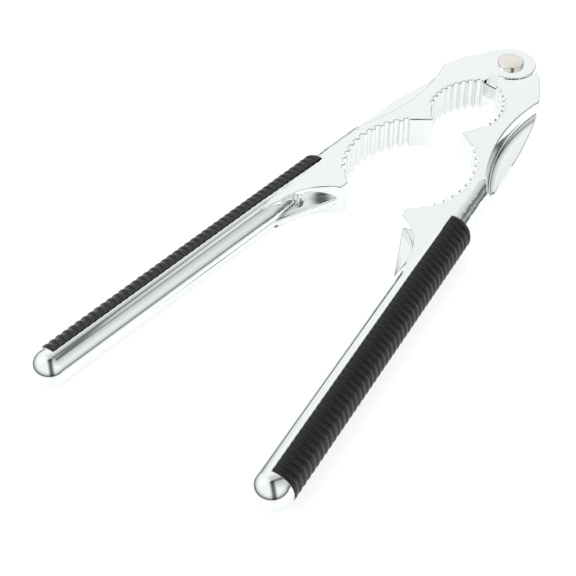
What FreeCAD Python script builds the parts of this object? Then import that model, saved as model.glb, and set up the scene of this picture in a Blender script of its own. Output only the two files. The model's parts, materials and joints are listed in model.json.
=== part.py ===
import FreeCAD, Part
import math
import os

import Sketcher

# Hand-held nutcracker: two alike die-cast arms, lapped at one end on a rivet, with a small
# and a large toothed jaw, and a ribbed rubber sleeve on the outer half of each handle.
#
# Frame: +Z up, millimetres, the nutcracker lying flat on its sleeves at z = 0. The pivot is
# at the +Y end, the handles point to -Y and spread in X. The origin is under the middle of
# the plan view.
#
# Each arm is drawn in a frame of its own: x runs from the pivot along the handle, y points
# inward to the other arm, and z = 0 is the arm's mid-height, so both faces are alike.
# The right arm is the same casting turned over about its x axis.

SIZES = {
    # arm plate
    "arm_thickness": 10.4,
    "arm_gap": 1.4,             # slot between the inner faces when the handles are parallel
    "rest_angle": 6.75,         # each handle to the middle line, as the part lies
    # ears and pivot
    "ear_radius": 7.9,
    "ear_round": 0.4,
    "ear_flank_angle": 113.0,   # where the outer flank leaves the ear
    "ear_clearance": 0.8,       # ear rim to the shoulder of the other arm
    "washer_thickness": 0.36,
    "washer_clearance": 0.02,   # each side of the washer
    "washer_radius": 6.6,
    "rivet_radius": 2.5,
    "rivet_fit": 0.03,          # radial, rivet to bore
    "rivet_head_radius": 4.1,
    "rivet_head_height": 1.2,
    "rivet_head_round": 0.5,
    "rivet_seat_depth": 1.0,    # counterbore for the set end
    "rivet_seat_clearance": 0.1,
    # small jaw, near the pivot
    "small_jaw_radius": 15.8,
    "small_jaw_along": 25.6,
    "small_jaw_inward": 9.0,
    "small_jaw_teeth": 9,
    "small_jaw_first": 222.5,   # direction of the first notch from the jaw's centre
    "small_jaw_sweep": 70.0,
    # large jaw
    "large_jaw_radius": 23.2,
    "large_jaw_along": 58.0,
    "large_jaw_inward": 12.1,
    "large_jaw_teeth": 11,
    "large_jaw_first": 232.0,
    "large_jaw_sweep": 77.0,
    "tooth_depth": 0.9,
    "tooth_floor": 1.15,
    "tooth_mouth": 1.75,
    # outer scoop and its web
    "web_thickness": 2.3,
    "scoop_radius": 58.0,
    "scoop_along": 34.3,
    "scoop_outward": 69.5,
    "scoop_draft": 0.7,         # lean of the wall, foot to rim
    "scoop_corner": 2.2,        # round between the wall and the web
    "flank_corner_along": 16.8,
    "flank_corner_outward": 15.8,
    "flank_bow_radius": 170.0,
    "ear_flank_bow_radius": 54.0,
    # inner flare and its web
    "jaw_end_along": 80.3,
    "flare_radius": 18.0,
    "flare_foot_along": 96.0,   # where the flare's curve ends beside the handle
    "flare_foot_outward": 9.85,
    "flare_end_along": 112.0,   # where the flat face runs out on the round handle
    "flare_web_along": 100.5,
    # handle
    "handle_radius": 5.75,      # over the handle's full-round length
    "handle_full_along": 100.0, # where it reaches that, eased in from the flat arm
    "handle_outward": 13.9,     # handle axis to the pivot, outward
    "handle_end_along": 180.2,  # centre of the round end
    "neck_start_along": 44.0,
    "neck_half_width": 4.4,
    "core_radius": 3.4,         # handle inside the sleeve
    # sleeve
    "sleeve_start_along": 74.2,
    "sleeve_length": 104.9,
    "sleeve_split": 0.5,        # split plane inward of the handle axis
    "sleeve_clearance": 0.05,
    "sleeve_base_radius": 5.45,
    "rib_crest_radius": 5.95,
    "rib_width": 1.7,
    "rib_count": 46,
}

doc = FreeCAD.newDocument("Nutcracker")


def make_sheet():
    """Put every driving size in a spreadsheet, one cell and one alias each."""
    sheet = doc.addObject("Spreadsheet::Sheet", "dims")
    for row, (alias, value) in enumerate(SIZES.items(), start=1):
        sheet.set("A%d" % row, alias)
        sheet.set("B%d" % row, str(value))
        sheet.setAlias("B%d" % row, alias)
    doc.recompute()
    return sheet


def bind(thing, **expressions):
    """Bind properties of a feature to expressions in the sheet's names."""
    for prop, expression in expressions.items():
        thing.setExpression(prop, expression)


def size(expression):
    """Value of an expression in the sheet's names, as a plain number."""
    value = dims.evalExpression(expression)
    return float(getattr(value, "Value", value))


def new_body(name):
    body = doc.addObject("PartDesign::Body", name)
    body.Label = name
    return body


def new_sketch(body, name, role, **offset):
    """Sketch on an origin plane; offset binds AttachmentOffset (x, y, z, turn)."""
    sketch = body.newObject("Sketcher::SketchObject", name)
    plane = next(item for item in body.Origin.OriginFeatures if item.Role == role)
    sketch.AttachmentSupport = [(plane, "")]
    sketch.MapMode = "FlatFace"
    if offset:
        place = "create(<<vector>>; %s; %s; %s)" % tuple(offset.get(key, "0") for key in "xyz")
        turn = "create(<<rotation>>; create(<<vector>>; 0; 0; 1); %s)" % offset.get("turn", "0")
        sketch.setExpression("AttachmentOffset", "create(<<placement>>; %s; %s)" % (place, turn))
    return sketch


def bound_constraint(sketch, kind, args, expression):
    """Add a driving constraint whose value is an expression."""
    index = sketch.addConstraint(Sketcher.Constraint(kind, *args, size(expression)))
    sketch.setExpression("Constraints[%d]" % index, expression)


def add_circle(sketch, radius):
    """Circle about the sketch's origin."""
    circle = Part.Circle(FreeCAD.Vector(0, 0, 0), FreeCAD.Vector(0, 0, 1), size(radius))
    line = sketch.addGeometry(circle, False)
    sketch.addConstraint(Sketcher.Constraint("Coincident", line, 3, -1, 1))
    bound_constraint(sketch, "Radius", (line,), radius)


def arc_between(start, end, radius):
    """Minor arc from start to end; a positive radius bows it to the right of the way."""
    chord = end - start
    half = chord.Length / 2
    side = FreeCAD.Vector(chord.y, -chord.x, 0).normalize()
    drop = math.sqrt(radius ** 2 - half ** 2)
    centre = (start + end) / 2 - side * math.copysign(drop, radius)
    middle = centre + side * math.copysign(abs(radius), radius)
    return Part.Arc(start, middle, end)


def add_outline(sketch, corners, arcs=None):
    """Closed outline through corners (pairs of expressions).

    arcs gives, for the side that leaves corner i, the radius expression and +1 or -1 for
    the side it bows to; every other side is straight.
    """
    arcs = arcs or {}
    points = [FreeCAD.Vector(size(x), size(y), 0) for x, y in corners]
    count = len(points)
    heads = []
    tails = []
    for side in range(count):
        start = points[side]
        end = points[(side + 1) % count]
        if side in arcs:
            radius, bow = arcs[side]
            curve = arc_between(start, end, bow * size(radius))
            line = sketch.addGeometry(curve, False)
            runs_back = sketch.getPoint(line, 1).distanceToPoint(start) > 1e-6
            heads.append((line, 2 if runs_back else 1))
            tails.append((line, 1 if runs_back else 2))
            bound_constraint(sketch, "Radius", (line,), radius)
        else:
            line = sketch.addGeometry(Part.LineSegment(start, end), False)
            heads.append((line, 1))
            tails.append((line, 2))
    for side in range(count):
        follower = heads[(side + 1) % count]
        sketch.addConstraint(Sketcher.Constraint("Coincident", *tails[side], *follower))
    for side, (x, y) in enumerate(corners):
        for kind, coordinate in (("DistanceX", x), ("DistanceY", y)):
            bound_constraint(sketch, kind, (-1, 1) + heads[side], coordinate)


def add_feature(body, kind, name, sketch, **expressions):
    """Pad, Pocket and the like from a sketch, with bound sizes."""
    feature = body.newObject("PartDesign::" + kind, name)
    feature.Profile = sketch
    bind(feature, **expressions)
    return feature


def cut_through(body, name, sketch, midplane=True):
    """Pocket through everything, both ways or along the sketch's normal."""
    pocket = body.newObject("PartDesign::Pocket", name)
    pocket.Profile = sketch
    pocket.Type = "ThroughAll"
    pocket.Midplane = midplane
    pocket.Reversed = not midplane
    return pocket


def checked_cut(body, feature, before):
    """Recompute and make sure that a cut took material away."""
    doc.recompute()
    if not feature.Shape.Volume < before - 1e-6:
        raise RuntimeError("%s cut nothing in %s" % (feature.Name, body.Name))
    return feature.Shape.Volume


def plate_corners():
    """Plan outline of an arm's plate, without jaws: corners and arcs."""
    corners = [
        ("0", "-dims.arm_gap / 2"),
        ("dims.jaw_end_along", "-dims.arm_gap / 2"),
        ("dims.flare_foot_along", "-dims.flare_foot_outward"),
        ("dims.flare_end_along", "-dims.handle_outward"),
        ("dims.neck_start_along + 3 * dims.neck_half_width", "-dims.handle_outward"),
        ("dims.neck_start_along + dims.neck_half_width",
         "-dims.handle_outward - dims.neck_half_width"),
        ("dims.flank_corner_along", "-dims.flank_corner_outward"),
        ("dims.ear_radius * cos(dims.ear_flank_angle)",
         "-dims.ear_radius * sin(dims.ear_flank_angle)"),
    ]
    return corners, {
        1: ("dims.flare_radius", 1),
        5: ("dims.flank_bow_radius", -1),
        6: ("dims.ear_flank_bow_radius", -1),
    }


def add_jaw(body, name, jaw):
    """Round hollow of a jaw, with a row of notches that leaves square teeth."""
    place = {"x": "dims.%s_along" % jaw, "y": "dims.%s_inward" % jaw}
    hollow_sketch = new_sketch(body, name + "_hollow_sketch", "XY_Plane", **place)
    add_circle(hollow_sketch, "dims.%s_radius" % jaw)
    before = body.Tip.Shape.Volume
    hollow = cut_through(body, name + "_hollow", hollow_sketch)
    before = checked_cut(body, hollow, before)

    notch_sketch = new_sketch(body, name + "_notch_sketch", "XY_Plane",
                              turn="dims.%s_first" % jaw, **place)
    rim = "dims.%s_radius" % jaw
    add_outline(notch_sketch, [
        (rim + " - dims.tooth_depth", "-dims.tooth_mouth / 2"),
        (rim, "-dims.tooth_mouth / 2"),
        (rim + " + dims.tooth_depth", "-dims.tooth_floor / 2"),
        (rim + " + dims.tooth_depth", "dims.tooth_floor / 2"),
        (rim, "dims.tooth_mouth / 2"),
        (rim + " - dims.tooth_depth", "dims.tooth_mouth / 2"),
    ])
    notch = cut_through(body, name + "_notch", notch_sketch)
    before = checked_cut(body, notch, before)

    row = body.newObject("PartDesign::PolarPattern", name + "_teeth")
    row.Originals = [notch]
    row.Axis = (notch_sketch, ["N_Axis"])
    bind(row, Angle="dims.%s_sweep" % jaw, Occurrences="dims.%s_teeth" % jaw)
    body.Tip = row
    checked_cut(body, row, before)


def add_scoops(body):
    """Round scoop in both faces at the outer flank, with a leaning wall, over a thin web."""
    for face, sign, bow in (("upper", "", 1), ("lower", "-", -1)):
        sketch = new_sketch(body, "scoop_%s_sketch" % face, "XZ_Plane",
                            x="dims.scoop_along", z="dims.scoop_outward")
        rim = "dims.scoop_radius"
        foot = rim + " - dims.scoop_draft"
        floor = sign + "dims.web_thickness / 2"
        bend = "%s(dims.web_thickness / 2 + dims.scoop_corner)" % sign
        face_level = sign + "dims.arm_thickness / 2"
        above = sign + "dims.arm_thickness"
        add_outline(sketch, [
            ("0", floor),
            (foot + " - dims.scoop_corner", floor),
            (foot, bend),
            (rim, face_level),
            (rim, above),
            ("0", above),
        ], {1: ("dims.scoop_corner", bow)})
        before = body.Tip.Shape.Volume
        scoop = add_feature(body, "Groove", "scoop_" + face, sketch)
        scoop.ReferenceAxis = (sketch, ["V_Axis"])
        checked_cut(body, scoop, before)


def add_flare_web(body):
    """Thin web at mid-height between the end of the large jaw and the handle."""
    sketch = new_sketch(body, "flare_web_sketch", "XY_Plane")
    side = "dims.handle_radius - dims.handle_outward"
    add_outline(sketch, [
        ("dims.jaw_end_along", "-dims.arm_gap"),
        ("dims.flare_web_along", side),
        ("dims.flare_web_along", "-dims.handle_outward"),
        ("dims.jaw_end_along", "-dims.handle_outward"),
    ])
    web = add_feature(body, "Pad", "flare_web", sketch, Length="dims.web_thickness")
    web.Midplane = True


def add_neck(body):
    """Oval neck between the scoop and the sleeve."""
    sketch = new_sketch(body, "neck_sketch", "YZ_Plane",
                        x="-dims.handle_outward", z="dims.neck_start_along")
    ellipse = Part.Ellipse(FreeCAD.Vector(0, 0, 0), size("dims.arm_thickness / 2"),
                           size("dims.neck_half_width"))
    ellipse.rotate(FreeCAD.Placement(FreeCAD.Vector(), FreeCAD.Vector(0, 0, 1), 90))
    line = sketch.addGeometry(ellipse, False)
    sketch.exposeInternalGeometry(line)
    sketch.addConstraint(Sketcher.Constraint("Coincident", line, 3, -1, 1))
    major = line + 1
    minor = line + 2
    sketch.addConstraint(Sketcher.Constraint("Vertical", major))
    bound_constraint(sketch, "Distance", (major,), "dims.arm_thickness")
    bound_constraint(sketch, "Distance", (minor,), "2 * dims.neck_half_width")
    add_feature(body, "Pad", "neck", sketch,
                Length="dims.sleeve_start_along + dims.handle_radius - dims.neck_start_along")


def add_handle(body):
    """Round handle with its round end, turned about the handle axis."""
    sketch = new_sketch(body, "handle_sketch", "XY_Plane", y="-dims.handle_outward")
    add_outline(sketch, [
        ("dims.sleeve_start_along", "0"),
        ("dims.handle_end_along + dims.handle_radius", "0"),
        ("dims.handle_end_along", "dims.handle_radius"),
        ("dims.handle_full_along", "dims.handle_radius"),
        ("dims.sleeve_start_along", "dims.arm_thickness / 2"),
    ], {1: ("dims.handle_radius", 1)})
    handle = add_feature(body, "Revolution", "handle", sketch)
    handle.ReferenceAxis = (sketch, ["H_Axis"])


def half_ring(sketch, inner, outer, split):
    """Outer half of a ring about the sketch's origin, cut along the line x = split."""
    edge_in = "-sqrt((%s) ^ 2 - (%s) ^ 2)" % (inner, split)
    edge_out = "-sqrt((%s) ^ 2 - (%s) ^ 2)" % (outer, split)
    r_in = size(inner)
    r_out = size(outer)
    x = size(split)
    low_in = FreeCAD.Vector(x, -math.sqrt(r_in ** 2 - x ** 2), 0)
    low_out = FreeCAD.Vector(x, -math.sqrt(r_out ** 2 - x ** 2), 0)
    high_in = FreeCAD.Vector(x, -low_in.y, 0)
    high_out = FreeCAD.Vector(x, -low_out.y, 0)
    shapes = [
        Part.LineSegment(low_in, low_out),
        Part.Arc(low_out, FreeCAD.Vector(-r_out, 0, 0), high_out),
        Part.LineSegment(high_out, high_in),
        Part.Arc(high_in, FreeCAD.Vector(-r_in, 0, 0), low_in),
    ]
    lines = [sketch.addGeometry(shape, False) for shape in shapes]
    ends = []
    for line, start in zip(lines, (low_in, low_out, high_out, high_in)):
        runs_on = sketch.getPoint(line, 1).distanceToPoint(start) < 1e-6
        ends.append(((line, 1), (line, 2)) if runs_on else ((line, 2), (line, 1)))
    for index, (_, tail) in enumerate(ends):
        head = ends[(index + 1) % len(ends)][0]
        sketch.addConstraint(Sketcher.Constraint("Coincident", *tail, *head))
    for index, corner_y in ((0, edge_in), (1, edge_out), (2, "-" + edge_out),
                            (3, "-" + edge_in)):
        head = ends[index][0]
        bound_constraint(sketch, "DistanceX", (-1, 1) + head, split)
        bound_constraint(sketch, "DistanceY", (-1, 1) + head, corner_y.replace("--", ""))
    bound_constraint(sketch, "Radius", (lines[1],), outer)
    bound_constraint(sketch, "Radius", (lines[3],), inner)


def add_sleeve_seat(body):
    """Step down to the core where the sleeve wraps the outer half of the handle."""
    sketch = new_sketch(body, "seat_sketch", "YZ_Plane",
                        x="-dims.handle_outward", z="dims.sleeve_start_along")
    half_ring(sketch, "dims.core_radius", "dims.rib_crest_radius + dims.handle_radius",
              "dims.sleeve_split")
    before = body.Tip.Shape.Volume
    seat = add_feature(body, "Pocket", "sleeve_seat", sketch, Length="dims.sleeve_length")
    seat.Reversed = True
    checked_cut(body, seat, before)


def add_ear_lap(body):
    """Cut the ear to half height, with a round shoulder for the other arm's ear."""
    gap = "dims.washer_thickness / 2 + dims.washer_clearance"
    sketch = new_sketch(body, "lap_sketch", "XY_Plane", z=gap)
    add_circle(sketch, "dims.ear_radius + dims.ear_clearance")
    before = body.Tip.Shape.Volume
    lap = cut_through(body, "ear_lap", sketch, midplane=False)
    lap.Reversed = False
    checked_cut(body, lap, before)


def add_bore(body, fit):
    """Rivet bore; fit is the radial clearance, nothing where the rivet is pressed in."""
    sketch = new_sketch(body, "bore_sketch", "XY_Plane")
    add_circle(sketch, "dims.rivet_radius" + fit)
    before = body.Tip.Shape.Volume
    bore = cut_through(body, "rivet_bore", sketch)
    checked_cut(body, bore, before)


def add_rivet_seat(body):
    """Counterbore in the outer face of the ear for the rivet's set end."""
    sketch = new_sketch(body, "rivet_seat_sketch", "XY_Plane",
                        z="dims.arm_thickness / 2 - dims.rivet_seat_depth")
    add_circle(sketch, "dims.rivet_head_radius + dims.rivet_seat_clearance")
    before = body.Tip.Shape.Volume
    seat = cut_through(body, "rivet_seat", sketch, midplane=False)
    checked_cut(body, seat, before)


def add_ear(body):
    """Round ear about the pivot, with rounded rims."""
    sketch = new_sketch(body, "ear_sketch", "XY_Plane")
    add_circle(sketch, "dims.ear_radius")
    ear = add_feature(body, "Pad", "ear", sketch, Length="dims.arm_thickness")
    ear.Midplane = True
    doc.recompute()
    rims = ["Edge%d" % index for index, edge in enumerate(ear.Shape.Edges, start=1)
            if edge.BoundBox.ZLength < 1e-6]
    rounding = body.newObject("PartDesign::Fillet", "ear_rounds")
    rounding.Base = (ear, rims)
    bind(rounding, Radius="dims.ear_round")


def make_arm(name, side):
    """One casting; side is +1 for the left arm and -1 for the right, turned over."""
    body = new_body(name)
    add_ear(body)
    plate_sketch = new_sketch(body, "plate_sketch", "XY_Plane")
    add_outline(plate_sketch, *plate_corners())
    plate = add_feature(body, "Pad", "plate", plate_sketch, Length="dims.arm_thickness")
    plate.Midplane = True
    add_neck(body)
    doc.recompute()

    add_scoops(body)
    add_flare_web(body)
    doc.recompute()
    add_jaw(body, "small_jaw", "small_jaw")
    add_jaw(body, "large_jaw", "large_jaw")
    add_handle(body)
    doc.recompute()
    add_sleeve_seat(body)
    add_ear_lap(body)
    add_bore(body, "" if side > 0 else " + dims.rivet_fit")
    if side < 0:
        add_rivet_seat(body)
    place_in_arm_frame(body, side)
    return body


def place_in_arm_frame(body, side):
    """Put a piece drawn in an arm's frame at its arm's place in the nutcracker."""
    spin = "create(<<rotation>>; create(<<vector>>; 0; 0; 1); -90 - (%d) * dims.rest_angle)"
    turn = spin % side
    if side < 0:
        turn += " * create(<<rotation>>; create(<<vector>>; 1; 0; 0); 180)"
    spot = "create(<<vector>>; 0; %s; dims.rib_crest_radius)" % PIVOT_Y
    body.setExpression("Placement", "create(<<placement>>; %s; %s)" % (spot, turn))


# Half of the plan length, less the ear: puts the origin under the middle of the part.
PIVOT_Y = ("((dims.handle_end_along * cos(dims.rest_angle)"
           " - dims.handle_outward * sin(dims.rest_angle)"
           " + dims.handle_radius) - dims.ear_radius) / 2")


def make_sleeve(name, side):
    """Ribbed rubber sleeve on the outer half of a handle: a ribbed tube, split lengthwise."""
    body = new_body(name)
    gap = "dims.sleeve_clearance"
    first = "dims.sleeve_start_along + " + gap
    section = new_sketch(body, "section_sketch", "YZ_Plane",
                         x="-dims.handle_outward", z=first)
    add_circle(section, "dims.sleeve_base_radius")
    add_circle(section, "dims.core_radius + " + gap)
    add_feature(body, "Pad", "tube", section, Length="dims.sleeve_length - 2 * " + gap)
    add_ribs(body, first)

    split_sketch = new_sketch(body, "split_sketch", "YZ_Plane", x="-dims.handle_outward")
    reach = "2 * dims.rib_crest_radius"
    side_y = "dims.sleeve_split - " + gap
    add_outline(split_sketch, [
        (side_y, "-" + reach),
        (reach, "-" + reach),
        (reach, reach),
        (side_y, reach),
    ])
    doc.recompute()
    before = body.Tip.Shape.Volume
    checked_cut(body, cut_through(body, "split", split_sketch), before)
    place_in_arm_frame(body, side)
    return body


def add_ribs(body, first):
    """Row of round ribs across the sleeve, from its first end to the last."""
    length = "(dims.sleeve_length - 2 * dims.sleeve_clearance)"
    pitch = length + " / dims.rib_count"
    height = "(dims.rib_crest_radius - dims.sleeve_base_radius)"
    half_width = "dims.rib_width / 2"
    root = "-(dims.core_radius + dims.sleeve_base_radius) / 2"
    sketch = new_sketch(body, "rib_sketch", "XY_Plane",
                        x="%s + %s / 2" % (first, pitch), y="-dims.handle_outward")
    crest = "((%s) ^ 2 + %s ^ 2) / (2 * %s)" % (half_width, height, height)
    add_outline(sketch, [
        ("-" + half_width, root),
        (half_width, root),
        (half_width, "-dims.sleeve_base_radius"),
        ("-" + half_width, "-dims.sleeve_base_radius"),
    ], {2: (crest, -1)})
    rib = add_feature(body, "Revolution", "rib", sketch)
    rib.ReferenceAxis = (sketch, ["H_Axis"])
    doc.recompute()

    row = body.newObject("PartDesign::LinearPattern", "ribs")
    row.Originals = [rib]
    row.Direction = (sketch, ["H_Axis"])
    bind(row, Length="%s * (dims.rib_count - 1)" % pitch, Occurrences="dims.rib_count")
    body.Tip = row


def make_washer(name):
    """Flat washer between the two ears."""
    body = new_body(name)
    sketch = new_sketch(body, "disc_sketch", "XY_Plane")
    add_circle(sketch, "dims.washer_radius")
    disc = add_feature(body, "Pad", "disc", sketch, Length="dims.washer_thickness")
    disc.Midplane = True
    doc.recompute()
    add_bore(body, " + dims.rivet_fit")
    place_in_arm_frame(body, 1)
    return body


def make_rivet(name):
    """Rivet with a low round-edged head on top and a set end in the counterbore."""
    body = new_body(name)
    sketch = new_sketch(body, "rivet_sketch", "XZ_Plane")
    half = "dims.arm_thickness / 2"
    top = half + " + dims.rivet_head_height"
    seat = "-(%s - dims.rivet_seat_depth)" % half
    add_outline(sketch, [
        ("0", top),
        ("0", "-(%s)" % half),
        ("dims.rivet_head_radius", "-(%s)" % half),
        ("dims.rivet_head_radius", seat),
        ("dims.rivet_radius", seat),
        ("dims.rivet_radius", half),
        ("dims.rivet_head_radius", half),
        ("dims.rivet_head_radius", top + " - dims.rivet_head_round"),
        ("dims.rivet_head_radius - dims.rivet_head_round", top),
    ], {7: ("dims.rivet_head_round", 1)})
    rivet = add_feature(body, "Revolution", "rivet", sketch)
    rivet.ReferenceAxis = (sketch, ["V_Axis"])
    place_in_arm_frame(body, 1)
    return body


def check(parts):
    """Stop on any failed object, or a shape that is missing or not valid."""
    for item in doc.Objects:
        if "Invalid" in item.State or "Error" in item.State:
            raise RuntimeError("%s failed: %s" % (item.Name, item.State))
    for body in parts:
        if body.Shape.isNull() or not body.Shape.isValid():
            raise RuntimeError("%s has no valid shape" % body.Label)
        if len(body.Shape.Solids) != 1:
            raise RuntimeError("%s is not one solid" % body.Label)


dims = make_sheet()
nodes = [
    make_arm("left_arm", 1),
    make_arm("right_arm", -1),
    make_sleeve("left_sleeve", 1),
    make_sleeve("right_sleeve", -1),
    make_washer("ear_washer"),
    make_rivet("pivot_rivet"),
]
doc.recompute()
check(nodes)

os.makedirs("parts", exist_ok=True)
for node in nodes:
    node.Shape.exportStep("parts/%s.step" % node.Label)
    print(node.Label, "%.0f mm3" % node.Shape.Volume, node.Shape.BoundBox)
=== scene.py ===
"""Looks of a hand-held nutcracker: two chromed arms on a rivet, with ribbed rubber sleeves."""

import json
import logging
import math
from dataclasses import dataclass, field
from enum import Enum

import bmesh
import bpy
from mathutils import Matrix, Vector


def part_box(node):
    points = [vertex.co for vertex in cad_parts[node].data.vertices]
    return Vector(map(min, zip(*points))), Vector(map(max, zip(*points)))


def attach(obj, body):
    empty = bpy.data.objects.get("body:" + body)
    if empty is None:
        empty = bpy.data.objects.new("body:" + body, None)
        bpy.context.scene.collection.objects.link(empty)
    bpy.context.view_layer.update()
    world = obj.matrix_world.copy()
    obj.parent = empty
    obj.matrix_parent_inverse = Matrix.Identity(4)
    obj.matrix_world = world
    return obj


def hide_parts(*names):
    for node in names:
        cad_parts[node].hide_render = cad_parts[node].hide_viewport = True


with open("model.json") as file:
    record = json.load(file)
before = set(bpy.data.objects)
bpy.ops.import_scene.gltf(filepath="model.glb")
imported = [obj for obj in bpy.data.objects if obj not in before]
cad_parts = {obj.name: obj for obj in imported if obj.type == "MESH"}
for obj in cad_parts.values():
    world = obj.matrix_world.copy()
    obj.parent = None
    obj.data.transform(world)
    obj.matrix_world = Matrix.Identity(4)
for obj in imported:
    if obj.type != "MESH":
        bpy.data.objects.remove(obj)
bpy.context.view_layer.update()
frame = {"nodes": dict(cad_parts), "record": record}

log = logging.getLogger("nutcracker")

MM = 0.001
SMOOTH_UP_TO = math.radians(40)     # faces that meet at less than this shade as one


class Side(Enum):
    """Which arm a piece belongs to; the value is the sign of its X side."""

    LEFT = -1
    RIGHT = 1

    @property
    def body(self) -> str:
        """Name of the CAD body that this side's pieces move with."""
        return self.name.lower()


def linear(code: str) -> tuple[float, float, float, float]:
    """Turn an sRGB hex colour into linear RGBA.

    Args:
        code: Colour such as "#1c1d1e".

    Returns:
        Linear red, green and blue, with an alpha of one.
    """
    parts = [int(code[start:start + 2], 16) / 255 for start in (1, 3, 5)]
    bent = [part / 12.92 if part <= 0.04045 else ((part + 0.055) / 1.055) ** 2.4 for part in parts]
    return (*bent, 1.0)


def add_node(tree: bpy.types.NodeTree, kind: str, links: dict | None = None,
             **settings: object) -> bpy.types.Node:
    """Add a node with its settings, values and links.

    Args:
        tree: Node tree that gets the node.
        kind: Blender's type name of the node.
        links: Input name or number, to the socket linked to it or the value set on it.
        settings: Attributes set on the node itself.

    Returns:
        The new node.
    """
    node = tree.nodes.new(kind)
    for name, value in settings.items():
        setattr(node, name, value)
    for name, value in (links or {}).items():
        if isinstance(value, bpy.types.NodeSocket):
            tree.links.new(value, node.inputs[name])
        else:
            node.inputs[name].default_value = value
    return node


def new_material(name: str) -> tuple[bpy.types.Material, bpy.types.NodeTree]:
    """Make an empty node material.

    Args:
        name: Name of the material.

    Returns:
        The material and its cleared node tree.
    """
    material = bpy.data.materials.new(name)
    material.use_nodes = True
    material.node_tree.nodes.clear()
    return material, material.node_tree


def put_in_scene(name: str, shape: bmesh.types.BMesh, material: bpy.types.Material,
                 smooth_angle: float) -> bpy.types.Object:
    """Turn a bmesh into a scene object at the origin, smooth up to an angle.

    Args:
        name: Name of the object.
        shape: Geometry, freed here.
        material: Material of every face.
        smooth_angle: Largest angle in radians between faces that shade as one.

    Returns:
        The new object.
    """
    mesh = bpy.data.meshes.new(name)
    shape.to_mesh(mesh)
    shape.free()
    mesh.materials.append(material)
    mesh.shade_smooth()
    mesh.set_sharp_from_angle(angle=smooth_angle)
    piece = bpy.data.objects.new(name, mesh)
    bpy.context.collection.objects.link(piece)
    return piece


def baked(piece: bpy.types.Object) -> bpy.types.Object:
    """Apply a piece's modifiers to a plain mesh and remove them.

    Args:
        piece: Object whose modifiers are to be applied.

    Returns:
        The same object with a plain mesh.
    """
    graph = bpy.context.evaluated_depsgraph_get()
    mesh = bpy.data.meshes.new_from_object(piece.evaluated_get(graph))
    piece.modifiers.clear()
    piece.data = mesh
    return piece


@dataclass(frozen=True)
class ChromePlate:
    """Bright chrome over a polished zinc casting: a cool mirror with a faint waviness."""

    tint: str = "#eef1f1"
    roughness: float = 0.035
    smear_roughness: float = 0.075
    smear_mm: float = 9.0       # size of the hazier patches that handling leaves
    wave_mm: float = 14.0       # length of the slow waves that hand polishing leaves
    wave_depth_mm: float = 0.012

    def build(self) -> bpy.types.Material:
        """Make the node material."""
        material, tree = new_material("chrome_plate_on_cast_zinc")
        place = add_node(tree, "ShaderNodeTexCoord").outputs["Object"]
        smear = add_node(tree, "ShaderNodeTexNoise", {
            "Vector": place, "Scale": 1 / (self.smear_mm * MM), "Detail": 3.0})
        haze = add_node(tree, "ShaderNodeMapRange", {
            "Value": smear.outputs["Fac"], "From Min": 0.45, "From Max": 0.75,
            "To Min": self.roughness, "To Max": self.smear_roughness})
        wave = add_node(tree, "ShaderNodeTexNoise", {
            "Vector": place, "Scale": 1 / (self.wave_mm * MM), "Detail": 1.0})
        bump = add_node(tree, "ShaderNodeBump", {
            "Height": wave.outputs["Fac"], "Distance": self.wave_depth_mm * MM,
            "Strength": 1.0})
        metal = add_node(tree, "ShaderNodeBsdfPrincipled", {
            "Base Color": linear(self.tint), "Metallic": 1.0,
            "Roughness": haze.outputs["Result"], "Normal": bump.outputs["Normal"]})
        add_node(tree, "ShaderNodeOutputMaterial", {"Surface": metal.outputs["BSDF"]})
        return material


@dataclass(frozen=True)
class MouldedRubber:
    """Black thermoplastic rubber, moulded: a soft sheen over a fine spark-eroded grain."""

    colour: str = "#060606"
    worn_colour: str = "#101011"
    roughness: float = 0.32
    grain_mm: float = 0.35      # the mould's grain, drawn coarse enough to show
    grain_depth_mm: float = 0.012
    dust_mm: float = 6.0

    def build(self) -> bpy.types.Material:
        """Make the node material."""
        material, tree = new_material("moulded_black_rubber")
        place = add_node(tree, "ShaderNodeTexCoord").outputs["Object"]
        dust = add_node(tree, "ShaderNodeTexNoise", {
            "Vector": place, "Scale": 1 / (self.dust_mm * MM), "Detail": 4.0})
        shade = add_node(tree, "ShaderNodeMix", {
            "Factor": dust.outputs["Fac"], 6: linear(self.colour),
            7: linear(self.worn_colour)}, data_type="RGBA")
        grain = add_node(tree, "ShaderNodeTexNoise", {
            "Vector": place, "Scale": 1 / (self.grain_mm * MM), "Detail": 2.0})
        bump = add_node(tree, "ShaderNodeBump", {
            "Height": grain.outputs["Fac"], "Distance": self.grain_depth_mm * MM,
            "Strength": 0.6})
        rubber = add_node(tree, "ShaderNodeBsdfPrincipled", {
            "Base Color": shade.outputs[2], "Roughness": self.roughness, "IOR": 1.5,
            "Normal": bump.outputs["Normal"]})
        add_node(tree, "ShaderNodeOutputMaterial", {"Surface": rubber.outputs["BSDF"]})
        return material


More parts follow.
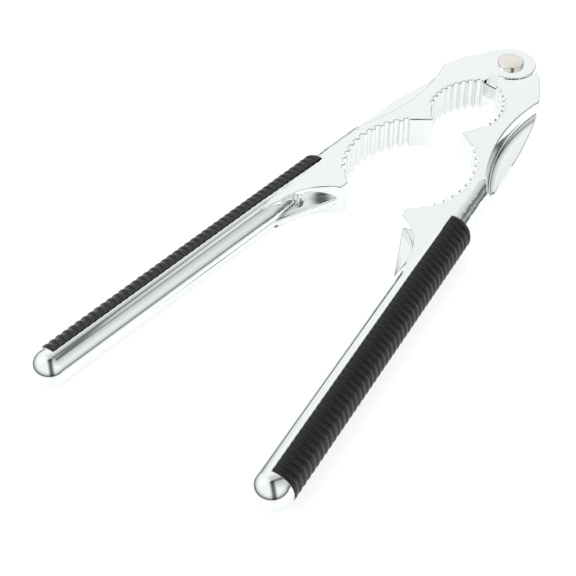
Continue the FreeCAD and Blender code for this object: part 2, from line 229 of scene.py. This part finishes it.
@dataclass(frozen=True)
class PlatedSteel:
    """Nickel-plated steel: a warm metal, a little softer than the chrome beside it."""

    name: str
    tint: str
    roughness: float
    turning_mm: float = 0.25    # spacing of the polishing marks, drawn coarse enough to show
    marks_depth_mm: float = 0.002

    def build(self) -> bpy.types.Material:
        """Make the node material."""
        material, tree = new_material(self.name)
        place = add_node(tree, "ShaderNodeTexCoord").outputs["Object"]
        marks = add_node(tree, "ShaderNodeTexNoise", {
            "Vector": place, "Scale": 1 / (self.turning_mm * MM), "Detail": 2.0})
        bump = add_node(tree, "ShaderNodeBump", {
            "Height": marks.outputs["Fac"], "Distance": self.marks_depth_mm * MM, "Strength": 0.5})
        metal = add_node(tree, "ShaderNodeBsdfPrincipled", {
            "Base Color": linear(self.tint), "Metallic": 1.0, "Roughness": self.roughness,
            "Normal": bump.outputs["Normal"]})
        add_node(tree, "ShaderNodeOutputMaterial", {"Surface": metal.outputs["BSDF"]})
        return material


@dataclass(frozen=True)
class LitAcrylic:
    """White cast acrylic lit from below: an even white, with a weak gloss."""

    colour: str = "#a4a5a5"
    roughness: float = 0.12
    glow: float = 0.82

    def build(self) -> bpy.types.Material:
        """Make the node material."""
        material, tree = new_material("lit_white_acrylic")
        top = add_node(tree, "ShaderNodeBsdfPrincipled", {
            "Base Color": linear(self.colour), "Roughness": self.roughness,
            "Emission Color": linear("#ffffff"), "Emission Strength": self.glow})
        add_node(tree, "ShaderNodeOutputMaterial", {"Surface": top.outputs["BSDF"]})
        return material


@dataclass
class HandleFrame:
    """Place of one handle: x along it from the pivot, y inward, z up, in millimetres."""

    side: Side
    pivot: Vector
    rest_angle: float = 6.75
    axis_outward: float = 13.9

    def matrix(self) -> Matrix:
        """Matrix from the handle's millimetre frame to the row frame in metres."""
        lean = math.radians(self.rest_angle)
        sign = self.side.value
        along = Vector((sign * math.sin(lean), -math.cos(lean), 0))
        inward = Vector((-sign * math.cos(lean), -math.sin(lean), 0))
        start = self.pivot - inward * self.axis_outward * MM
        turn = Matrix((along, inward, Vector((0, 0, 1)))).transposed()
        return Matrix.Translation(start) @ (turn * MM).to_4x4()


@dataclass
class Arm:
    """One die-cast arm, with small rounds on its rims and teeth; sizes in millimetres."""

    side: Side
    pivot: Vector
    rim_round: float = 0.3
    ear_reach: float = 10.0     # the ears' rims are already rounded in the CAD
    least_edge: float = 0.5     # off the jaws, corners with shorter edges stay sharp
    # centre along the handle and inward of its axis, and reach past the teeth, of each jaw
    jaws: tuple[tuple[float, float, float], ...] = ((25.6, 22.9, 17.0), (58.0, 26.0, 24.4))
    round_steps: int = 3
    crease: float = math.radians(32)
    weld: float = 0.0005
    flat_within: float = math.radians(0.3)      # facets closer than this join in one face

    def build(self, metal: bpy.types.Material) -> bpy.types.Object:
        """Copy the CAD casting, round its edges and stand it for the CAD node.

        Args:
            metal: Material of the casting.

        Returns:
            The finished piece.
        """
        node = self.side.body + "_arm"
        shape = bmesh.new()
        shape.from_mesh(frame["nodes"][node].data)
        bmesh.ops.remove_doubles(shape, verts=shape.verts, dist=self.weld * MM)
        bmesh.ops.dissolve_limit(shape, angle_limit=self.flat_within, verts=shape.verts,
                                 edges=shape.edges)
        bmesh.ops.recalc_face_normals(shape, faces=shape.faces)
        self.mark_rims(shape)
        piece = put_in_scene(self.side.body + "_casting", shape, metal, self.crease)
        bevel = piece.modifiers.new("rim_rounds", "BEVEL")
        bevel.width = self.rim_round * MM
        bevel.segments = self.round_steps
        bevel.limit_method = "WEIGHT"
        bevel.use_clamp_overlap = False
        weighted = piece.modifiers.new("flat_faces_stay_flat", "WEIGHTED_NORMAL")
        weighted.weight = 100
        weighted.keep_sharp = True
        baked(piece)
        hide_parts(node)
        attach(piece, self.side.body)
        return piece

    def mark_rims(self, shape: bmesh.types.BMesh) -> None:
        """Give every sharp edge with room for a round the bevel's weight.

        Args:
            shape: The casting, changed in place.
        """
        weight = shape.edges.layers.float.new("bevel_weight_edge")
        to_handle = HandleFrame(self.side, self.pivot).matrix().inverted()
        for edge in shape.edges:
            sharp = edge.is_manifold and edge.calc_face_angle() > self.crease
            off_ear = all((vert.co - self.pivot).xy.length > self.ear_reach * MM
                          for vert in edge.verts)
            spots = [(to_handle @ vert.co).xy for vert in edge.verts]
            on_jaw = any(all((spot - Vector(jaw[:2])).length < jaw[2] for spot in spots)
                         for jaw in self.jaws)
            roomy = all(near.calc_length() > self.least_edge * MM
                        for vert in edge.verts for near in vert.link_edges)
            edge[weight] = float(sharp and off_ear and (on_jaw or roomy))


@dataclass
class Sleeve:
    """Ribbed rubber sleeve on the outer half of one handle; sizes in millimetres."""

    place: HandleFrame
    start: float = 74.25
    length: float = 104.8
    inner_radius: float = 3.45
    base_radius: float = 5.45
    crest_radius: float = 5.95
    rib_width: float = 1.7
    rib_count: int = 46
    split: float = 0.45
    arc_steps: int = 48
    bead_steps: int = 20

    def build(self, rubber: bpy.types.Material) -> bpy.types.Object:
        """Make the sleeve with its ribs and stand it for the CAD node.

        Args:
            rubber: Material of the sleeve.

        Returns:
            The finished piece.
        """
        side = self.place.side.body
        piece = put_in_scene(side + "_grip", self.half_tube(), rubber, SMOOTH_UP_TO)
        tree = self.rib_tree()
        modifier = piece.modifiers.new("ribs", "NODES")
        modifier.node_group = tree
        for name, value in self.inputs(rubber).items():
            socket = next(item for item in tree.interface.items_tree if item.name == name)
            modifier[socket.identifier] = value
        baked(piece)
        piece.data.transform(self.place.matrix())
        piece.data.update()
        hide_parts(side + "_sleeve")
        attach(piece, side)
        return piece

    def half_tube(self) -> bmesh.types.BMesh:
        """Plain wall under the ribs, in the handle's frame.

        Returns:
            A closed half tube, cut along the split plane.
        """
        section = []
        for radius, way in ((self.base_radius, 1), (self.inner_radius, -1)):
            reach = math.pi / 2 + math.asin(self.split / radius)
            for step in range(self.arc_steps + 1):
                turn = way * reach * (2 * step / self.arc_steps - 1)
                section.append((-radius * math.cos(turn), radius * math.sin(turn)))
        shape = bmesh.new()
        ends = []
        for x in (self.start, self.start + self.length):
            ends.append([shape.verts.new((x, y, z)) for y, z in section])
        count = len(section)
        for index in range(count):
            after = (index + 1) % count
            shape.faces.new((ends[0][index], ends[0][after], ends[1][after], ends[1][index]))
        for ring in ends:
            for index in range(self.arc_steps):
                far = count - 1 - index
                shape.faces.new((ring[index], ring[index + 1], ring[far - 1], ring[far]))
        bmesh.ops.recalc_face_normals(shape, faces=shape.faces)
        return shape

    def inputs(self, rubber: bpy.types.Material) -> dict[str, object]:
        """Values of the rib tree's named inputs.

        Args:
            rubber: Material of the ribs.

        Returns:
            Input name to value.
        """
        height = self.crest_radius - self.base_radius
        bead = ((self.rib_width / 2) ** 2 + height ** 2) / (2 * height)
        pitch = self.length / self.rib_count
        reach = math.pi / 2 + math.asin(self.split / self.crest_radius)
        return {
            "Rib Count": self.rib_count,
            "Rib Pitch": pitch,
            "First Rib": self.start + pitch / 2,
            "Bead Radius": bead,
            "Arc Radius": self.crest_radius - bead,
            "Half Sweep": reach,
            "Rubber": rubber,
        }

    def rib_tree(self) -> bpy.types.NodeTree:
        """Node tree that sets a row of half-round ribs across the sleeve.

        Returns:
            The tree, with a named input for each size.
        """
        tree = bpy.data.node_groups.new("sleeve_ribs", "GeometryNodeTree")
        face = tree.interface
        face.new_socket("Geometry", in_out="INPUT", socket_type="NodeSocketGeometry")
        face.new_socket("Rib Count", in_out="INPUT", socket_type="NodeSocketInt")
        for name in ("Rib Pitch", "First Rib", "Bead Radius", "Arc Radius", "Half Sweep"):
            face.new_socket(name, in_out="INPUT", socket_type="NodeSocketFloat")
        face.new_socket("Rubber", in_out="INPUT", socket_type="NodeSocketMaterial")
        face.new_socket("Ribbed", in_out="OUTPUT", socket_type="NodeSocketGeometry")
        given = add_node(tree, "NodeGroupInput").outputs
        first = add_node(tree, "ShaderNodeCombineXYZ", {"X": given["First Rib"]})
        step = add_node(tree, "ShaderNodeCombineXYZ", {"X": given["Rib Pitch"]})
        row = add_node(tree, "GeometryNodeMeshLine", {
            "Count": given["Rib Count"], "Start Location": first.outputs[0],
            "Offset": step.outputs[0]})
        back = add_node(tree, "ShaderNodeMath", {
            0: given["Half Sweep"], 1: -1.0}, operation="MULTIPLY")
        whole = add_node(tree, "ShaderNodeMath", {
            0: given["Half Sweep"], 1: 2.0}, operation="MULTIPLY")
        arc = add_node(tree, "GeometryNodeCurveArc", {
            "Resolution": self.arc_steps + 1, "Radius": given["Arc Radius"],
            "Start Angle": back.outputs[0], "Sweep Angle": whole.outputs[0]})
        across = add_node(tree, "GeometryNodeTransform", {
            "Geometry": arc.outputs["Curve"],
            "Rotation": (math.pi / 2, 0.0, -math.pi / 2)})
        bead = add_node(tree, "GeometryNodeCurvePrimitiveCircle", {
            "Resolution": self.bead_steps, "Radius": given["Bead Radius"]})
        rib = add_node(tree, "GeometryNodeCurveToMesh", {
            "Curve": across.outputs["Geometry"], "Profile Curve": bead.outputs["Curve"],
            "Fill Caps": True})
        ribs = add_node(tree, "GeometryNodeInstanceOnPoints", {
            "Points": row.outputs["Mesh"], "Instance": rib.outputs["Mesh"]})
        both = add_node(tree, "GeometryNodeJoinGeometry")
        tree.links.new(ribs.outputs["Instances"], both.inputs["Geometry"])
        tree.links.new(given["Geometry"], both.inputs["Geometry"])
        solid = add_node(tree, "GeometryNodeRealizeInstances", {
            "Geometry": both.outputs["Geometry"]})
        dressed = add_node(tree, "GeometryNodeSetMaterial", {
            "Geometry": solid.outputs["Geometry"], "Material": given["Rubber"]})
        add_node(tree, "NodeGroupOutput", {"Ribbed": dressed.outputs["Geometry"]})
        return tree


@dataclass
class Pivot:
    """Rivet and washer of the pivot; sizes in millimetres."""

    place: Vector
    arm_thickness: float = 10.4
    head_round: float = 0.5
    crown: float = 0.25         # how far the head's middle stands above its rim
    shank_share: float = 0.6    # shank to head, hidden in the bore
    round_steps: int = 8
    crown_steps: int = 6
    turns: int = 96

    def build_rivet(self, metal: bpy.types.Material) -> bpy.types.Object:
        """Turn the rivet with a softly crowned head.

        Args:
            metal: Material of the rivet.

        Returns:
            The finished piece.
        """
        low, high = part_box("pivot_rivet")
        plate_top = self.place.z + self.arm_thickness / 2 * MM
        centre = (low + high) / 2
        head = (high.x - low.x) / 2
        round_out = self.head_round * MM
        crown = self.crown * MM
        shank = head * self.shank_share
        profile = [(0.0, low.z), (head - round_out, low.z), (head, low.z + round_out / 2),
                   (head, low.z + round_out), (shank, low.z + round_out * 2),
                   (shank, plate_top), (head, plate_top)]
        rim = high.z - crown - round_out
        for step in range(self.round_steps + 1):
            turn = math.pi / 2 * step / self.round_steps
            profile.append((head - round_out + round_out * math.cos(turn),
                            rim + round_out * math.sin(turn)))
        for step in range(1, self.crown_steps + 1):
            reach = (head - round_out) * (1 - step / self.crown_steps)
            drop = crown * (reach / (head - round_out)) ** 2
            profile.append((reach, high.z - drop))
        shape = bmesh.new()
        points = [shape.verts.new((centre.x + r, centre.y, z)) for r, z in profile]
        edges = [shape.edges.new(pair) for pair in zip(points, points[1:])]
        bmesh.ops.spin(shape, geom=points + edges, cent=(centre.x, centre.y, 0),
                       axis=(0, 0, 1), angle=2 * math.pi, steps=self.turns)
        bmesh.ops.remove_doubles(shape, verts=shape.verts, dist=1e-6)
        bmesh.ops.recalc_face_normals(shape, faces=shape.faces)
        piece = put_in_scene("rivet", shape, metal, SMOOTH_UP_TO)
        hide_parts("pivot_rivet")
        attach(piece, "left")
        return piece

    def dress_washer(self, metal: bpy.types.Material) -> None:
        """Give the CAD washer its steel."""
        washer = frame["nodes"]["ear_washer"]
        washer.data.materials.clear()
        washer.data.materials.append(metal)


@dataclass
class Studio:
    """White table, soft lights and the camera; sizes in metres, angles in degrees."""

    pivot: Vector
    azimuth: float = 35.01
    elevation: float = 43.92
    distance: float = 0.4519
    aim: tuple[float, float] = (-0.00506, -0.1134)     # from the pivot, on the table
    aim_height: float = 0.0008
    lens: float = 102.46
    table_span: float = 6.0
    lights: list[tuple[float, float, float, float]] = field(default_factory=lambda: [
        # azimuth, elevation, width and power of each soft box, all aimed at the part
        (300.0, 50.0, 0.5, 1.0),
    ])
    light_distance: float = 1.2
    sky_strength: float = 1.05
    sky_levels: tuple[tuple[float, float], ...] = (
        (0.0, 0.08), (0.12, 0.28), (0.26, 0.75), (0.45, 1.0), (1.0, 1.0))
    sky_tint: tuple[float, float, float] = (0.985, 1.0, 1.01)
    # side, half width and remaining light of each dim strip of the sky
    gaps: tuple[tuple[float, float, float], ...] = (
        (48.0, 0.34, 0.14), (152.0, 0.16, 0.3), (152.0, 0.75, 0.6))

    strip_core: float = 0.15        # part of a strip's half width that is fully dim
    strip_overhead: float = 0.15    # how far past overhead a strip fades out

    def build(self) -> None:
        """Make the table, the lights, the sky and the camera."""
        self.lay_table()
        self.hang_lights()
        self.fill_sky()
        self.set_camera()

    def direction(self, azimuth: float, elevation: float) -> Vector:
        """Unit vector from the part toward an azimuth and elevation, as the views count them."""
        a = math.radians(azimuth)
        e = math.radians(elevation)
        return Vector((math.sin(a) * math.cos(e), -math.cos(a) * math.cos(e), math.sin(e)))

    def target(self) -> Vector:
        """Point that the camera looks at."""
        return Vector((self.pivot.x + self.aim[0], self.pivot.y + self.aim[1], self.aim_height))

    def lay_table(self) -> None:
        """Lay the white table at the height the part rests on."""
        shape = bmesh.new()
        bmesh.ops.create_grid(shape, x_segments=1, y_segments=1, size=self.table_span)
        table = put_in_scene("table", shape, LitAcrylic().build(), 0.0)

    def hang_lights(self) -> None:
        """Hang the square soft boxes round the part."""
        for number, (azimuth, elevation, width, power) in enumerate(self.lights):
            lamp = bpy.data.lights.new("soft_box_%d" % number, "AREA")
            lamp.shape = "SQUARE"
            lamp.size = width
            lamp.energy = power
            holder = bpy.data.objects.new(lamp.name, lamp)
            way = self.direction(azimuth, elevation)
            holder.location = self.target() + way * self.light_distance
            holder.rotation_mode = "QUATERNION"
            holder.rotation_quaternion = way.to_track_quat("Z", "Y")
            bpy.context.collection.objects.link(holder)

    def fill_sky(self) -> None:
        """Fill the room with soft light that falls off toward the horizon and in the gaps."""
        world = bpy.data.worlds.new("white_room")
        world.use_nodes = True
        tree = world.node_tree
        tree.nodes.clear()
        place = add_node(tree, "ShaderNodeTexCoord").outputs["Generated"]
        height = add_node(tree, "ShaderNodeSeparateXYZ", {"Vector": place}).outputs["Z"]
        ramp = add_node(tree, "ShaderNodeValToRGB", {"Fac": height})
        while len(ramp.color_ramp.elements) < len(self.sky_levels):
            ramp.color_ramp.elements.new(0.5)
        for element, (spot, level) in zip(ramp.color_ramp.elements, self.sky_levels):
            element.position = spot
            element.color = (*(level * tint for tint in self.sky_tint), 1.0)
        light = ramp.outputs["Color"]
        for azimuth, half_width, dimness in self.gaps:
            light = self.add_gap(tree, place, light, azimuth, half_width, dimness)
        glow = add_node(tree, "ShaderNodeBackground", {
            "Color": light, "Strength": self.sky_strength})
        add_node(tree, "ShaderNodeOutputWorld", {"Surface": glow.outputs["Background"]})
        bpy.context.scene.world = world

    def add_gap(self, tree: bpy.types.NodeTree, place: bpy.types.NodeSocket,
                light: bpy.types.NodeSocket, azimuth: float, half_width: float,
                dimness: float) -> bpy.types.NodeSocket:
        """Darken a strip of the sky that falls from overhead to an azimuth.

        Args:
            tree: The world's node tree.
            place: Socket with the direction looked at.
            light: Socket with the sky's colour so far.
            azimuth: Side that the strip falls to.
            half_width: Half of the strip's width, as a sine.
            dimness: What is left of the light inside the strip.

        Returns:
            Socket with the darkened colour.
        """
        side = self.direction(azimuth, 0.0)
        across = Vector((-side.y, side.x, 0.0))
        offset = add_node(tree, "ShaderNodeVectorMath", {0: place, 1: across},
                          operation="DOT_PRODUCT").outputs["Value"]
        spread = add_node(tree, "ShaderNodeMath", {0: offset}, operation="ABSOLUTE").outputs[0]
        strip = add_node(tree, "ShaderNodeMapRange", {
            "Value": spread, "From Min": half_width * self.strip_core, "From Max": half_width,
            "To Min": 1.0, "To Max": 0.0}, interpolation_type="SMOOTHSTEP").outputs[0]
        ahead = add_node(tree, "ShaderNodeVectorMath", {0: place, 1: side},
                         operation="DOT_PRODUCT").outputs["Value"]
        near = add_node(tree, "ShaderNodeMapRange", {
            "Value": ahead, "From Min": -self.strip_overhead, "From Max": 0.0}).outputs[0]
        share = add_node(tree, "ShaderNodeMath", {0: strip, 1: near}, operation="MULTIPLY")
        level = add_node(tree, "ShaderNodeMapRange", {
            "Value": share.outputs[0], "To Min": 1.0, "To Max": dimness}).outputs[0]
        return add_node(tree, "ShaderNodeVectorMath", {0: light, "Scale": level},
                        operation="SCALE").outputs[0]

    def set_camera(self) -> None:
        """Place the camera and make it the scene's."""
        lens = bpy.data.cameras.new("camera")
        lens.lens = self.lens
        lens.sensor_width = 36.0
        lens.clip_start = 0.01
        camera = bpy.data.objects.new("camera", lens)
        back = self.direction(self.azimuth, self.elevation)
        camera.location = self.target() + back * self.distance
        camera.rotation_mode = "QUATERNION"
        camera.rotation_quaternion = (-back).to_track_quat("-Z", "Y")
        bpy.context.collection.objects.link(camera)
        bpy.context.scene.camera = camera


def main() -> None:
    """Build every piece, then the studio."""
    logging.basicConfig(level=logging.INFO)
    bpy.context.scene.view_settings.view_transform = "Standard"
    pivot = Vector(frame["record"]["behaviour"]["joints"][0]["pos_m"])
    chrome = ChromePlate().build()
    rubber = MouldedRubber().build()
    for side in Side:
        log.info("built %s", Arm(side, pivot).build(chrome).name)
        log.info("built %s", Sleeve(HandleFrame(side, pivot)).build(rubber).name)
    joint = Pivot(pivot)
    nickel = PlatedSteel("nickel_plated_rivet_steel", "#e6e1d8", 0.12).build()
    steel = PlatedSteel("plain_washer_steel", "#9a9a98", 0.3).build()
    log.info("built %s", joint.build_rivet(nickel).name)
    joint.dress_washer(steel)
    Studio(pivot).build()


if __name__ == "__main__":
    main()
